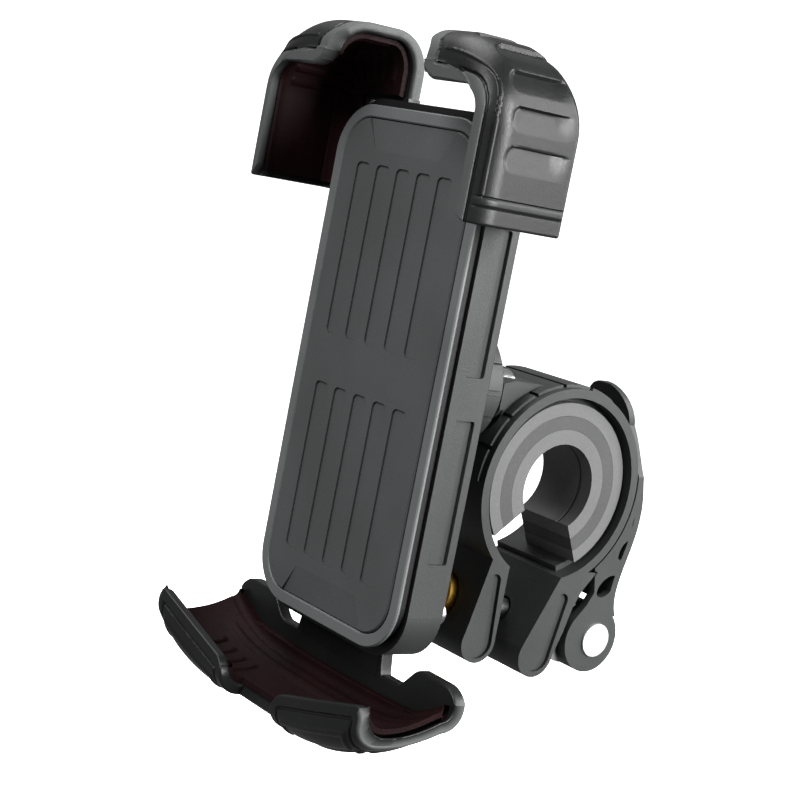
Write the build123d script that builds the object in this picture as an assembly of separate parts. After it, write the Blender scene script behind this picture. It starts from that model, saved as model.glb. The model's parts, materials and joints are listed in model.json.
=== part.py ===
from build123d import *
import math
import os

# Phone mount for a handlebar. Millimetres, +Z up.
# The handlebar's bore runs along X through the origin. The phone stands upright in front of the
# bar, facing -Y, with its long side along Z. The holder hangs on a ball joint above the bar.

# Handlebar clamp, seen along X
BORE_R = 10.0
SLEEVE_OUTER_RADII = (13.3, 16.4, 19.35)
SLEEVE_GAP = 0.05
SLEEVE_X = (-5.9, 10.85)
SLIT_ANGLES = (219.0, 298.0)
RING_INNER_R = 20.75
RING_SEAT_R = 19.4
RING_OUTER_R = 22.8
RING_HALF_WIDTH = 12.3
RING_SEAT_X = (-12.3, 8.6)
BOLT_NUT_END = (-18.6, -27.4)
PIN_CENTRE = (19.6, -34.6)
BOLT_R = 2.5
BOLT_HOLE_R = 3.0
BARREL_R = 4.6
BARREL_HALF_WIDTH = 3.4

# Cam lever
EYE_CENTRE = (18.4, -34.5)
EYE_R = 7.8
PIN_R = 2.6
PIN_HEAD_R = 3.9
LEVER_WALL = 1.8
FLANGE_IN = 10.4
TONGUE_R = 7.4

# Ball joint
BALL_R = 7.5
SEAT_IN_R = 7.6
SEAT_OUT_R = 8.7
SOCKET_R = 9.0
NECK_R = 3.8
COLLAR_R = 13.1
COLLAR_GROOVES = 14
BOSS_R = 11.3
COLLAR_REACH = 14.35
NECK_ROOM_R = 9.0

# Holder, in its own frame: origin at the middle of the pad's face, X across, Y to the back
HOLDER_OFFSET = (0.0, -50.5, 20.0)
BALL_Y = 21.5
FRAME_HALF = (25.3, 54.4)
FRAME_CORNER_R = 10.8
PAD_HALF = (22.35, 51.5)
PAD_CORNER_R = 7.9
PAD_BACK_Y = 2.6
FRAME_Y = (0.2, 0.9)
NECK_INSET = 0.7
HOUSING_HALF = (25.5, 56.0)
HOUSING_Y = (3.0, 12.0)
CHANNEL_Y = (6.6, 10.4)
CHANNEL_HALF = 17.5
PLATE_Y = (6.9, 10.1)
SCREW_PLACES = ((-21.0, -45.5), (21.0, -45.5), (-21.0, 45.5), (21.0, 45.5))
SLOTS_PER_GROUP = 5
SLOT_PITCH = 7.0
SLOT_WIDTH = 4.7
SLOT_DEPTH = 0.45
SLOT_LENGTH = 37.0
SLOT_MIDDLE_Z = 23.7
PANEL_SPANS = ((-34.2, -4.3), (4.5, 34.4))
PANEL_Y = 7.8
PANEL_WIDTH = 5.0
PANEL_POCKET = 1.5
PANEL_THICK = 0.7
LAND_HALF = 52.0

# Jaws
JAW_HALF_WIDTH = 40.3
JAW_WALL = 2.6
UPPER_LIP_Y = -13.4
LOWER_LIP_Y = -15.4
JAW_BACK_Y = 10.2
JAW_TOP_Z = 71.0
HOOK_BOTTOM_Z = 34.9
LIP_EDGE_Z = 60.3
LIP_EDGE_X = 35.0
LOWER_BOTTOM_Z = -74.0
LOWER_LIP_END = 39.4
LINER = 1.2

# Gear that ties the two jaws together
MODULE = 0.75
PINION_TEETH = 12
PITCH_R = MODULE * PINION_TEETH / 2
PINION_PIN_R = 1.4
SPRING_X = 12.6
SPRING_R = 1.25
SPRING_WIRE_R = 0.3


def prism_x(sketch, low, high):
    """Extrude a sketch of (Y, Z) points along X."""
    plane = Plane(origin=(low, 0, 0), x_dir=(0, 1, 0), z_dir=(1, 0, 0))
    return extrude(plane * sketch, amount=high - low, dir=(1, 0, 0))


def prism_y(sketch, low, high):
    """Extrude a sketch of (X, Z) points along Y."""
    plane = Plane(origin=(0, low, 0), x_dir=(1, 0, 0), z_dir=(0, -1, 0))
    return extrude(plane * sketch, amount=high - low, dir=(0, 1, 0))


def prism_z(sketch, low, high):
    """Extrude a sketch of (X, Y) points along Z."""
    return extrude(Plane.XY.offset(low) * sketch, amount=high - low, dir=(0, 0, 1))


def block(low, high):
    """A box between two opposite corners."""
    size = [b - a for a, b in zip(low, high)]
    middle = [(a + b) / 2 for a, b in zip(low, high)]
    return Pos(*middle) * Box(*size)


def rod_y(radius, low, high, x=0.0, z=0.0):
    return Pos(x, (low + high) / 2, z) * Rot(90, 0, 0) * Cylinder(radius, high - low)


def rod_x(radius, low, high, y=0.0, z=0.0):
    return Pos((low + high) / 2, y, z) * Rot(0, 90, 0) * Cylinder(radius, high - low)


def rounded(half_width, half_height, radius):
    return RectangleRounded(2 * half_width, 2 * half_height, radius)


def polygon(*points):
    """A flat outline through the points, whichever way round they are given."""
    turn = sum(a[0] * b[1] - b[0] * a[1] for a, b in zip(points, points[1:] + points[:1]))
    return Polygon(*(points if turn > 0 else points[::-1]), align=None)


def polar(radius, degrees):
    angle = math.radians(degrees)
    return (radius * math.cos(angle), radius * math.sin(angle))


def mirror_x(shape):
    return mirror(shape, about=Plane.YZ)


# ---------------------------------------------------------------- handlebar clamp

BOLT_ANGLE = math.degrees(
    math.atan2(PIN_CENTRE[1] - BOLT_NUT_END[1], PIN_CENTRE[0] - BOLT_NUT_END[0])
)
BOLT_SPAN = math.dist(BOLT_NUT_END, PIN_CENTRE)


def along_bolt(shape, distance):
    """Turn a shape made along +Z so that it lies on the bolt, that far from the nut's end."""
    y, z = polar(distance, BOLT_ANGLE)
    place = Plane(
        origin=(0, BOLT_NUT_END[0] + y, BOLT_NUT_END[1] + z),
        x_dir=(1, 0, 0),
        z_dir=(0, *polar(1, BOLT_ANGLE)),
    )
    return place * shape


def bolt_rod(radius, start, end):
    return along_bolt(Pos(0, 0, (end - start) / 2) * Cylinder(radius, end - start), start)


def front_ear():
    ear = polygon((-15.6, -14.5), (-20.1, -35.0), (-10.7, -35.0), (-10.8, -14.5))
    return ear + Pos(-15.4, -35.0) * Circle(4.7)


def back_ear():
    ear = polygon(
        (4.4, -18.2), (-2.4, -36.5), (-2.7, -38.2), (7.3, -38.4), (9.3, -32.5),
        (10.6, -27.0), (12.5, -23.0), (15.8, -18.8),
    )
    return ear + Pos(2.3, -38.3) * Circle(5.0)


def ear_gap():
    """The slot between the ears, which lets the ring spring open."""
    return polygon((-10.8, -12.0), (-10.7, -46.0), (-7.6, -46.0), (-2.4, -36.5), (5.4, -19.6), (2.2, -12.0))


def ring_profile():
    ring = Circle(RING_OUTER_R) + front_ear() + back_ear()
    return ring - Circle(RING_INNER_R) - ear_gap()


def clamp_ring():
    width = RING_HALF_WIDTH
    ring = prism_x(ring_profile(), -width, width)
    seat = Circle(RING_INNER_R + 0.2) - Circle(RING_SEAT_R)
    seat -= polygon((0, 0), polar(60, 230), polar(60, 289))
    ring += prism_x(seat, *RING_SEAT_X)
    arm = polygon((-19.0, 12.0), (-19.0, 21.6), (-16.0, 22.4), (-3.0, 22.0), (-12.0, 10.0), (-17.0, 9.6))
    ring += prism_x(arm - Circle(RING_INNER_R), -8.0, 8.0)
    for start in range(60, 180, 20):
        slab = Circle(RING_OUTER_R + 0.7) - Circle(RING_OUTER_R - 0.5)
        slab &= polygon((0, 0), polar(40, start + 1.2), polar(40, start + 18.8))
        ring += prism_x(slab, -width + 2.0, width - 1.6)
    ring -= rod_y(NECK_R + 0.01, -24.0, -12.0, z=HOLDER_OFFSET[2])
    ring -= rod_y(1.7, -14.0, 10.0, z=HOLDER_OFFSET[2] - 3.2)
    sweep_room = Sphere(COLLAR_REACH) - rod_y(NECK_ROOM_R, -30.0, 30.0)
    ring -= Pos(0, HOLDER_OFFSET[1] + BALL_Y, HOLDER_OFFSET[2]) * sweep_room
    ring -= bolt_rod(BOLT_HOLE_R, -6.0, BOLT_SPAN)
    ring -= bolt_rod(6.0, -8.0, 1.0)
    for pocket in (front_ear_pocket(), back_ear_pocket()):
        ring -= prism_x(pocket, width - 0.8, width)
        ring -= prism_x(pocket, -width, -width + 0.8)
    return ring


def teardrop(top, bottom, top_r, bottom_r):
    """A drop-shaped outline from a small round end to a large one."""
    across = (top[1] - bottom[1], bottom[0] - top[0])
    length = math.hypot(*across)
    side = (across[0] / length, across[1] / length)
    corners = [
        (top[0] + side[0] * top_r, top[1] + side[1] * top_r),
        (bottom[0] + side[0] * bottom_r, bottom[1] + side[1] * bottom_r),
        (bottom[0] - side[0] * bottom_r, bottom[1] - side[1] * bottom_r),
        (top[0] - side[0] * top_r, top[1] - side[1] * top_r),
    ]
    return polygon(*corners) + Pos(*top) * Circle(top_r) + Pos(*bottom) * Circle(bottom_r)


def front_ear_pocket():
    return teardrop((-14.2, -21.2), (-15.3, -35.0), 1.7, 3.7)


def back_ear_pocket():
    return teardrop((7.0, -25.4), (2.5, -38.0), 1.7, 4.0)


def slit_wedge():
    return polygon((0.0, 2.0), polar(60, SLIT_ANGLES[0]), polar(60, 256), polar(60, SLIT_ANGLES[1]))


def sleeve(inner_r, outer_r):
    """One reducing sleeve: a thick C that springs closed on the bar."""
    profile = Circle(outer_r) - Circle(inner_r) - slit_wedge()
    return prism_x(profile, *SLEEVE_X)


def sleeves():
    inner_r = BORE_R
    shapes = []
    for outer_r in SLEEVE_OUTER_RADII:
        shapes.append(sleeve(inner_r, outer_r))
        inner_r = outer_r + SLEEVE_GAP
    groove = Circle(BORE_R + 0.6) - Circle(BORE_R - 1.0)
    shapes[0] -= prism_x(groove, 6.8, 7.4)
    return shapes


def ball_stud():
    centre = (0, HOLDER_OFFSET[1] + BALL_Y, HOLDER_OFFSET[2])
    ball = Pos(*centre) * Sphere(BALL_R)
    return ball + rod_y(NECK_R, centre[1], -12.0, z=centre[2]) - rod_y(1.3, -20.0, -11.0, z=centre[2])


def clamp_bolt():
    bolt = bolt_rod(BOLT_R, -0.4, BOLT_SPAN - 2.0)
    bolt += rod_x(BARREL_R, -BARREL_HALF_WIDTH, BARREL_HALF_WIDTH, *PIN_CENTRE)
    return bolt - rod_x(PIN_R + 0.05, -10, 10, *PIN_CENTRE)


def brass_nut():
    nut = bolt_rod(5.3, -1.6, 0.9) - bolt_rod(4.0, -1.7, -0.6) + bolt_rod(3.3, -1.5, 0.9)
    return nut - bolt_rod(BOLT_R + 0.05, -3.0, 3.0)


def cam_washer():
    """The shoe between the cam and the back ear, hollowed to the cam's curve."""
    shoe = polygon((8.4, -39.8), (15.6, -41.6), (18.0, -28.0), (11.0, -26.2))
    shoe = shoe - back_ear() - Circle(RING_OUTER_R + 0.3) - Pos(*PIN_CENTRE) * Circle(9.35)
    washer = prism_x(shoe, -9.6, 9.6) - bolt_rod(BOLT_HOLE_R, 10.0, BOLT_SPAN)
    return washer.solids().sort_by(lambda solid: -solid.volume)[0]


# ---------------------------------------------------------------- cam lever

LEVER_BACK = (
    (19.3, 23.8), (20.7, 21.4), (21.7, 19.2), (22.9, 16.0), (23.9, 11.0), (24.6, 3.6), (25.5, 0.0),
    (26.1, -5.4), (25.3, -12.4), (23.7, -19.7), (23.4, -24.9), (24.6, -29.0),
)
LEVER_FRONT = (
    (12.0, -30.0), (14.9, -26.4), (16.5, -23.4), (15.0, -17.0), (21.6, 0.0), (22.2, 9.6), (21.1, 15.2),
    (19.4, 20.0), (17.9, 23.3),
)


def lever_side():
    """The lever's side outline: the eye, then an arm that follows the ring."""
    back = Spline(*LEVER_BACK)
    front = Polyline(LEVER_BACK[-1], *LEVER_FRONT, LEVER_BACK[0])
    return make_face(back + front) + Pos(*EYE_CENTRE) * Circle(EYE_R)


def lever_holes():
    big = Pos(20.0, -21.9) * Rot(0, 0, -48) * Ellipse(1.9, 3.3)
    small = Pos(23.3, -13.2) * Rot(0, 0, -28) * Ellipse(1.3, 2.6)
    slit = Pos(24.7, -5.6) * Rot(0, 0, -12) * Ellipse(0.5, 2.3)
    return [big, small, slit]


def lever_front_view():
    """The lever seen along Y: full width low down, a round-ended thumb tongue on top."""
    half = RING_HALF_WIDTH
    low = polygon((-half, -50), (half, -50), (half, 4), (TONGUE_R, 15), (-TONGUE_R, 15), (-half, 4))
    return low + Pos(0, 23.6 - TONGUE_R) * Circle(TONGUE_R)


def cam_lever():
    half = RING_HALF_WIDTH
    side = lever_side()
    flange = prism_x(side, FLANGE_IN, half)
    for hole in lever_holes():
        flange -= prism_x(hole, 0, half + 1)
    wall = side - Pos(-LEVER_WALL, 0) * side
    wall &= polygon((0, -26), (60, -26), (60, 40), (0, 40))
    eye = prism_x(Pos(*EYE_CENTRE) * Circle(EYE_R), BARREL_HALF_WIDTH + 0.3, half)
    lever = prism_x(wall, -half, half) + flange + mirror_x(flange) + eye + mirror_x(eye)
    lever -= prism_x(Circle(RING_OUTER_R + 0.4) + offset(back_ear(), 0.35), -half - 1, half + 1)
    lever &= prism_y(lever_front_view(), 5, 40)
    lever -= rod_x(PIN_R + 0.01, -half - 1, half + 1, *PIN_CENTRE)
    for low, high in ((half - 0.6, half + 1), (-half - 1, 0.6 - half)):
        lever -= rod_x(PIN_HEAD_R + 0.01, low, high, *PIN_CENTRE)
    return lever.solids().sort_by(lambda solid: -solid.volume)[0]


def lever_pin():
    half = RING_HALF_WIDTH
    pin = rod_x(PIN_R, -half, half, *PIN_CENTRE)
    for low, high in ((half - 0.6, half + 0.5), (-half - 0.5, 0.6 - half)):
        pin += rod_x(PIN_HEAD_R, low, high, *PIN_CENTRE)
    return pin


# ---------------------------------------------------------------- ball joint

def seat_ring(start, end):
    """A zone of a spherical shell around the ball, between two angles from +Y."""
    shell = Sphere(SEAT_OUT_R) - Sphere(SEAT_IN_R)
    rays = [polar(20, 90 - angle) for angle in (start, (start + end) / 2, end)]
    cone = revolve(Plane.XY * polygon((0, 0), *rays), Axis.Y)
    return Pos(0, BALL_Y, 0) * (shell & cone)


def collar_nut():
    """The knurled nut that squeezes the seats onto the ball."""
    front, rear = BALL_Y - 4.8, BALL_Y + 6.5
    nut = rod_y(COLLAR_R, front, rear)
    nut = chamfer(nut.edges().filter_by(GeomType.CIRCLE).sort_by(Axis.Y)[-1], 1.4)
    nut -= rod_y(BOSS_R + 0.2, front - 1, BALL_Y + 1.0)
    nut -= rod_y(SOCKET_R, front, BALL_Y + 1.1)
    nut -= Pos(0, BALL_Y, 0) * Sphere(SOCKET_R)
    flare = polygon((0, BALL_Y), (8.4, rear + 0.3), (0, rear + 0.3))
    nut -= revolve(Plane.XY * flare, Axis.Y)
    for index in range(COLLAR_GROOVES):
        groove = Pos(COLLAR_R, (front + rear) / 2, 0) * Box(1.6, rear - front + 2, 1.3)
        nut -= Rot(0, 360 * index / COLLAR_GROOVES, 0) * groove
    return nut


def back_cover():
    """Closes the housing's back and carries the socket and the collar's threaded boss."""
    outline = rounded(24.0, 53.0, 9.5)
    cover = prism_y(outline, HOUSING_Y[1], HOUSING_Y[1] + 2.8)
    cover = chamfer(cover.faces().sort_by(Axis.Y)[-1].edges(), 1.6)
    cover += block((-17.2, CHANNEL_Y[1], -LAND_HALF), (17.2, HOUSING_Y[1] + 0.5, LAND_HALF))
    cover += rod_y(15.5, HOUSING_Y[1] + 2.0, BALL_Y - 5.2)
    cover += rod_y(BOSS_R, HOUSING_Y[1] + 2.0, BALL_Y + 0.8)
    cover -= Pos(0, BALL_Y, 0) * Sphere(SOCKET_R)
    cover -= rod_y(SOCKET_R, BALL_Y, BALL_Y + 2)
    cover -= rod_y(PINION_PIN_R + 0.01, 5, 11.4)
    for x, z in SCREW_PLACES:
        cover -= rod_y(1.6, 8, 20, x=x, z=z) + rod_y(2.6, HOUSING_Y[1] + 1.2, 20, x=x, z=z)
    return cover


def cover_screws():
    screws = []
    for x, z in SCREW_PLACES:
        screw = rod_y(1.4, 7.0, HOUSING_Y[1] + 1.5, x=x, z=z)
        screw += rod_y(2.4, HOUSING_Y[1] + 1.2, HOUSING_Y[1] + 2.7, x=x, z=z)
        drive = Pos(x, HOUSING_Y[1] + 2.5, z) * (Box(2.6, 1.2, 0.6) + Box(0.6, 1.2, 2.6))
        screws.append(screw - drive)
    return Compound(screws)


# ---------------------------------------------------------------- holder

def front_frame():
    outer = rounded(*FRAME_HALF, FRAME_CORNER_R)
    inner = rounded(PAD_HALF[0] + 0.25, PAD_HALF[1] + 0.25, PAD_CORNER_R + 0.2)
    frame = prism_y(outer - inner, *FRAME_Y)
    return chamfer(frame.edges().group_by(Axis.Y)[0], 0.25)


def slot_outline(x, z):
    return Pos(x, z) * RectangleRounded(SLOT_WIDTH, SLOT_LENGTH, 1.3)


def front_pad():
    pad = prism_y(rounded(*PAD_HALF, PAD_CORNER_R), 0.0, PAD_BACK_Y)
    pad = chamfer(pad.edges().group_by(Axis.Y)[0], 0.3)
    for side in (1, -1):
        for index in range(SLOTS_PER_GROUP):
            x = (index - (SLOTS_PER_GROUP - 1) / 2) * SLOT_PITCH
            pad -= prism_y(slot_outline(x, side * SLOT_MIDDLE_Z), -1, SLOT_DEPTH)
        ramp = polygon((-0.1, 44.0), (0.7, 52.5), (-0.1, 52.5))
        wedge = prism_x(ramp, -17.0, 17.0)
        wedge &= prism_y(polygon((-15.5, 52.6), (-10.5, 44.4), (10.5, 44.4), (15.5, 52.6)), -1, 3)
        pad -= wedge if side == 1 else mirror(wedge, about=Plane.XY)
    return pad


def panel_outline(z_low, z_high):
    return Pos(PANEL_Y, (z_low + z_high) / 2) * RectangleRounded(PANEL_WIDTH, z_high - z_low, 0.6)


def side_panels():
    """The flat trim plates sunk into the housing's right side."""
    inner = HOUSING_HALF[0] - PANEL_POCKET
    return [prism_x(panel_outline(*span), inner, inner + PANEL_THICK) for span in PANEL_SPANS]


def main_housing():
    """The tray behind the pad: two hollow side rails and the channel that the jaws slide in."""
    outer = rounded(*HOUSING_HALF, FRAME_CORNER_R)
    housing = prism_y(outer, *HOUSING_Y)
    neck = rounded(FRAME_HALF[0] - NECK_INSET, FRAME_HALF[1] - NECK_INSET, FRAME_CORNER_R - NECK_INSET)
    housing += prism_y(neck, FRAME_Y[1], HOUSING_Y[0] + 1)
    housing -= prism_y(rounded(PAD_HALF[0] + 0.05, PAD_HALF[1] + 0.05, PAD_CORNER_R + 0.05), 0, PAD_BACK_Y)
    housing -= block((-CHANNEL_HALF, CHANNEL_Y[0], -60), (CHANNEL_HALF, CHANNEL_Y[1], 60))
    housing -= block((-CHANNEL_HALF, CHANNEL_Y[0], -LAND_HALF - 0.1), (CHANNEL_HALF, 20, LAND_HALF + 0.1))
    for side in (1, -1):
        for z_low, z_high in ((-43.0, -2.0), (2.0, 43.0)):
            xs = sorted((side * 19.2, side * 23.2))
            housing -= block((xs[0], 5.0, z_low), (xs[1], HOUSING_Y[1] + 1, z_high))
    for span in PANEL_SPANS:
        seat = prism_x(panel_outline(*span), HOUSING_HALF[0] - PANEL_POCKET, HOUSING_HALF[0] + 1)
        housing -= seat
        housing -= mirror_x(seat)
    for x, z in SCREW_PLACES:
        housing -= rod_y(1.41, 6.5, 13, x=x, z=z)
    housing -= rod_y(PINION_PIN_R + 0.01, 4.6, 8)
    for side in (1, -1):
        housing += rod_y(1.1, CHANNEL_Y[0] - 0.5, CHANNEL_Y[1] - 0.3, x=side * SPRING_X, z=-side * 18.6)
    return housing


# ---------------------------------------------------------------- gear and springs

def pinion():
    """Twelve-tooth gear with straight-flanked teeth, cut back a little for running clearance."""
    root_r = PITCH_R - 1.25 * MODULE
    gear = Circle(root_r)
    half_pitch = math.pi * MODULE / 4
    tooth = polygon((root_r - 0.6, 0.86), (PITCH_R, half_pitch - 0.13), (PITCH_R + 0.62, 0.24),
                    (PITCH_R + 0.62, -0.24), (PITCH_R, 0.13 - half_pitch), (root_r - 0.6, -0.86))
    for index in range(PINION_TEETH):
        gear += Rot(0, 0, 360 * index / PINION_TEETH) * tooth
    shape = prism_y(gear, PLATE_Y[0] + 0.1, PLATE_Y[1] - 0.1)
    return shape - rod_y(PINION_PIN_R + 0.06, 0, 20)


def rack_arm():
    """The toothed arm of the upper jaw: it runs down past the gear's +X side."""
    pitch = math.pi * MODULE
    arm = polygon((PITCH_R + 0.75, -21.0), (9.2, -21.0), (9.2, 24.0), (PITCH_R + 0.75, 24.0))
    for index in range(-9, 9):
        z = (index + 0.5) * pitch
        tooth = polygon((PITCH_R + 1.0, z - 0.72), (PITCH_R - 0.58, z - 0.27),
                        (PITCH_R - 0.58, z + 0.27), (PITCH_R + 1.0, z + 0.72))
        arm += tooth
    return prism_y(arm, *PLATE_Y)


def tension_spring(z_low, z_high, x):
    length = z_high - z_low
    wire = SPRING_WIRE_R
    path = Helix(pitch=1.5, height=length - 2 * wire, radius=SPRING_R, center=(0, 0, wire))
    section = Plane(origin=path @ 0, z_dir=path % 0) * Circle(wire)
    coil = sweep(section, path=path, is_frenet=True)
    return Pos(x, (CHANNEL_Y[0] + CHANNEL_Y[1]) / 2, z_low) * coil


# ---------------------------------------------------------------- jaws

def filleted(points, radii):
    """A polygon whose corners are rounded one by one; a radius of 0 leaves a corner sharp."""
    face = polygon(*points)
    for point, radius in zip(points, radii):
        if radius:
            corner = face.vertices().sort_by_distance((point[0], point[1], 0))[0]
            face = fillet(corner, radius)
    return face


def hook_volume(inset, top_r, top_inset):
    """The hood of the upper-right hook as a solid lump, drawn in from the outside by inset."""
    width = JAW_HALF_WIDTH - inset
    top = JAW_TOP_Z - top_inset
    front = UPPER_LIP_Y + inset
    back = JAW_BACK_Y - (inset + 0.6 if inset else 0)
    front_view = filleted([(8, 30), (width, 30), (width, top), (8, top)], [0, 0, top_r, 0])
    side_view = filleted(
        [(front, 25), (front, 61.4), (front + 4.0, top), (back, top), (back, 25)],
        [0, 10 - inset, 6 - inset / 2, 8 - inset, 0],
    )
    plan = filleted(
        [(8, front), (width, front), (width, back), (8, back)], [0, 7 - inset, 2.2 - inset / 2, 0]
    )
    lump = prism_y(front_view, -20, 15) & prism_x(side_view, 0, 45)
    return lump & prism_z(plan, 20, 80)


def upper_hook():
    hook = hook_volume(0, 18.0, 0) - hook_volume(JAW_WALL, 15.4, 2.8)
    hook -= block((0, -20, 0), (50, 20, HOOK_BOTTOM_Z))
    opening = filleted(
        [(0, 0), (LIP_EDGE_X, 0), (LIP_EDGE_X, LIP_EDGE_Z), (0, LIP_EDGE_Z)], [0, 0, 5.0, 0]
    )
    hook -= prism_y(opening, -20, -6)
    hook -= prism_z(polygon((0, -20), (16.7, -20), (16.7, -13.4), (12.0, 10.2), (12.0, 20), (0, 20)), 50, 80)
    return hook - block((0, 2, 0), (26.6, 20, 55.8))


def upper_jaw():
    hook = upper_hook()
    plate = block((-17.0, PLATE_Y[0], 23.0), (17.0, PLATE_Y[1], 50.0))
    for side in (1, -1):
        xs = sorted((side * 12.0, side * 17.0))
        plate += block((xs[0], PLATE_Y[0], 49.0), (xs[1], PLATE_Y[1], 57.1))
    return hook + mirror_x(hook) + plate + rack_arm()


def upper_liner():
    """The soft lining inside the right hook: side, back and roof, kept clear of the lips."""
    liner = hook_volume(JAW_WALL, 15.4, 2.8) - hook_volume(JAW_WALL + LINER, 15.4 - LINER, 2.8 + LINER)
    liner -= block((0, -20, 0), (50, 20, HOOK_BOTTOM_Z + 1.6))
    liner -= block((0, -20, 0), (50, UPPER_LIP_Y + JAW_WALL + 2.2, 80))
    liner -= prism_z(polygon((0, -20), (18.1, -20), (18.1, -13.4), (13.4, 10.2), (13.4, 20), (0, 20)), 50, 80)
    return liner - block((0, 2, 0), (28.0, 20, 57.2))


def lower_volume(inset):
    """The scoop of the lower jaw as a solid lump, drawn in from the outside by inset."""
    front = LOWER_LIP_Y + inset
    back = JAW_BACK_Y - (inset + 0.7 if inset else 0)
    bottom = LOWER_BOTTOM_Z + inset
    side_view = filleted(
        [
            (front, -40), (front, bottom + 3.0), (front + 5.0, bottom), (back - 6, bottom + 2.6),
            (back, bottom + 6.5), (back, -20),
        ],
        [0, 5 - inset / 2, 4, 4, 5 - inset / 2, 0],
    )
    edge, end_z, knee_z = 41.0, bottom + 8.5, bottom + 2.2
    rise = Spline((-edge, end_z), (-30, knee_z), (0, bottom), (30, knee_z), (edge, end_z))
    sides = Polyline((edge, end_z), (edge, -20), (-edge, -20), (-edge, end_z))
    front_view = make_face(rise + sides)
    return prism_x(side_view, -45, 45) & prism_y(front_view, -20, 15)


def lower_jaw():
    jaw = lower_volume(0) - lower_volume(JAW_WALL)
    back_cut = filleted(
        [
            (14.3, 0), (14.3, -60.6), (22.0, -60.6), (28.0, -56.0), (36.5, -55.6), (41.0, -63.0),
            (46, -63), (46, 0),
        ],
        [0, 3.5, 3.5, 3.0, 3.5, 0, 0, 0],
    )
    lip_cut = filleted(
        [(9.5, 0), (9.5, -65.4), (22.0, -63.9), (35.5, -60.4), (41.0, -62.5), (46, -62.5), (46, 0)],
        [0, 2.0, 3.0, 2.5, 0, 0, 0],
    )
    gap = filleted([(0, -20), (9.5, -20), (9.5, -9.4), (0, -9.4)], [0, 0, 3.0, 0])
    ends = filleted(
        [
            (LOWER_LIP_END, -20), (LOWER_LIP_END, LOWER_LIP_Y + 1.5), (JAW_HALF_WIDTH, -3),
            (JAW_HALF_WIDTH, 14), (50, 14), (50, -20),
        ],
        [0, 3, 6, 0, 0, 0],
    )
    cut = prism_y(back_cut, 0, 15) + prism_y(lip_cut, -20, 0.0) + prism_z(gap, -80, 0) + prism_z(ends, -80, 0)
    jaw -= cut
    jaw -= mirror_x(cut)
    jaw -= block((-9.6, -20, -62), (9.6, 0, 0))
    jaw -= block((-14.4, 4, -53.0), (14.4, 15, 0))
    plate = block((-14.3, PLATE_Y[0], -62.0), (14.3, PLATE_Y[1], -23.0))
    return jaw + plate + Rot(0, 180, 0) * rack_arm()


def lower_liner():
    """The soft lining on the lower jaw's floor."""
    lump = lower_volume(JAW_WALL)
    liner = lump - Pos(0, 0, LINER) * lump
    plan = filleted(
        [(0, -7.6), (9, -7.6), (15, -10.2), (33, -10.2), (37.4, -2), (37.4, 6.0), (0, 6.0)],
        [0, 2, 2, 4, 4, 4, 0],
    )
    plan += mirror(plan, about=Plane.YZ)
    return liner & prism_z(plan, -80, -50)


# ---------------------------------------------------------------- the parts

def in_place(shape):
    """Move a piece of the holder from the holder's frame to the handlebar's."""
    return Pos(*HOLDER_OFFSET) * shape


def build():
    outer, middle, inner = reversed(sleeves())
    panels = side_panels()
    parts = {
        "clamp_ring": clamp_ring(),
        "sleeve_outer": outer,
        "sleeve_middle": middle,
        "sleeve_inner": inner,
        "ball_stud": ball_stud(),
        "clamp_bolt": clamp_bolt(),
        "brass_nut": brass_nut(),
        "cam_washer": cam_washer(),
        "cam_lever": cam_lever(),
        "lever_pin": lever_pin(),
    }
    holder = {
        "ball_seat_rear": seat_ring(52, 84),
        "ball_seat_front": seat_ring(106, 168),
        "collar_nut": collar_nut(),
        "back_cover": back_cover(),
        "cover_screws": cover_screws(),
        "front_frame": front_frame(),
        "front_pad": front_pad(),
        "main_housing": main_housing(),
        "side_panels_right": Compound(panels),
        "side_panels_left": Compound([mirror_x(panel) for panel in panels]),
        "pinion": pinion(),
        "pinion_pin": rod_y(PINION_PIN_R, 4.8, 11.2),
        "upper_spring": tension_spring(-17.2, 22.8, SPRING_X),
        "lower_spring": tension_spring(-22.8, 17.2, -SPRING_X),
        "upper_jaw": upper_jaw(),
        "upper_liner_right": upper_liner(),
        "upper_liner_left": mirror_x(upper_liner()),
        "lower_jaw": lower_jaw(),
        "lower_liner": lower_liner(),
    }
    parts.update({name: in_place(shape) for name, shape in holder.items()})
    return parts


os.makedirs("parts", exist_ok=True)
for part_name, part_shape in build().items():
    export_step(part_shape, os.path.join("parts", part_name + ".step"))
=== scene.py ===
import json
import math

import bmesh
import bpy
import numpy as np
from mathutils import Matrix, Vector


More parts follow.
